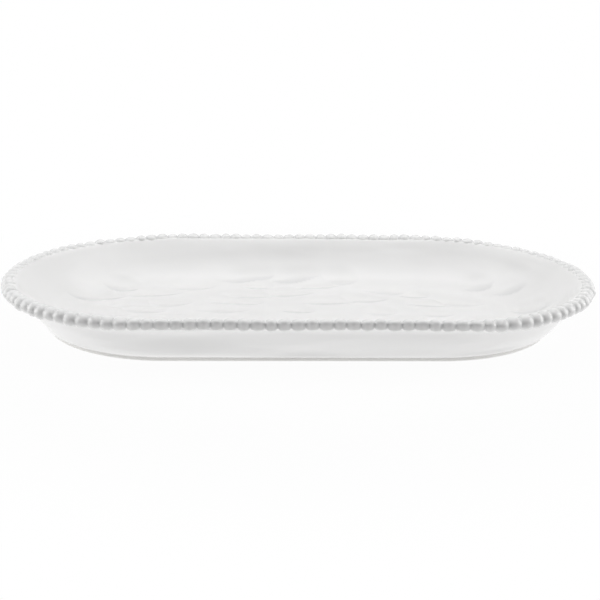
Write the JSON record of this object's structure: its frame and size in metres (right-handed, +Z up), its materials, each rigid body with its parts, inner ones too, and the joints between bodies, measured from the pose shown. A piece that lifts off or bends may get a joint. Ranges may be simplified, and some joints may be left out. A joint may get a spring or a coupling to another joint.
{
  "type": "serving dish",
  "caption": "Long oval serving platter in white glazed stoneware: shallow well with a softly dented floor, flared wall, beaded rim and a low foot ring.",
  "frame": {"origin": "on the table plane, under the middle of the dish", "axes": "+X along the length of the dish, +Y across it and away from the picture's viewer, +Z up"},
  "size_m": [0.3998, 0.228, 0.0365],
  "materials": {
    "white_glaze": "smooth glossy white glaze over stoneware",
    "bare_clay": "matt unglazed pale clay, wiped clean of glaze where it stands"
  },
  "bodies": {
    "root": {"dish_body": "white_glaze", "foot_ring": "bare_clay", "bead_strip_01": "white_glaze", "bead_strip_02": "white_glaze", "bead_strip_03": "white_glaze", "bead_strip_04": "white_glaze", "bead_strip_05": "white_glaze", "bead_strip_06": "white_glaze", "bead_strip_07": "white_glaze", "bead_strip_08": "white_glaze", "bead_strip_09": "white_glaze", "bead_strip_10": "white_glaze", "bead_strip_11": "white_glaze", "bead_strip_12": "white_glaze", "bead_strip_13": "white_glaze", "bead_strip_14": "white_glaze", "bead_strip_15": "white_glaze", "bead_strip_16": "white_glaze", "bead_strip_17": "white_glaze", "bead_strip_18": "white_glaze"}
  },
  "joints": []
}
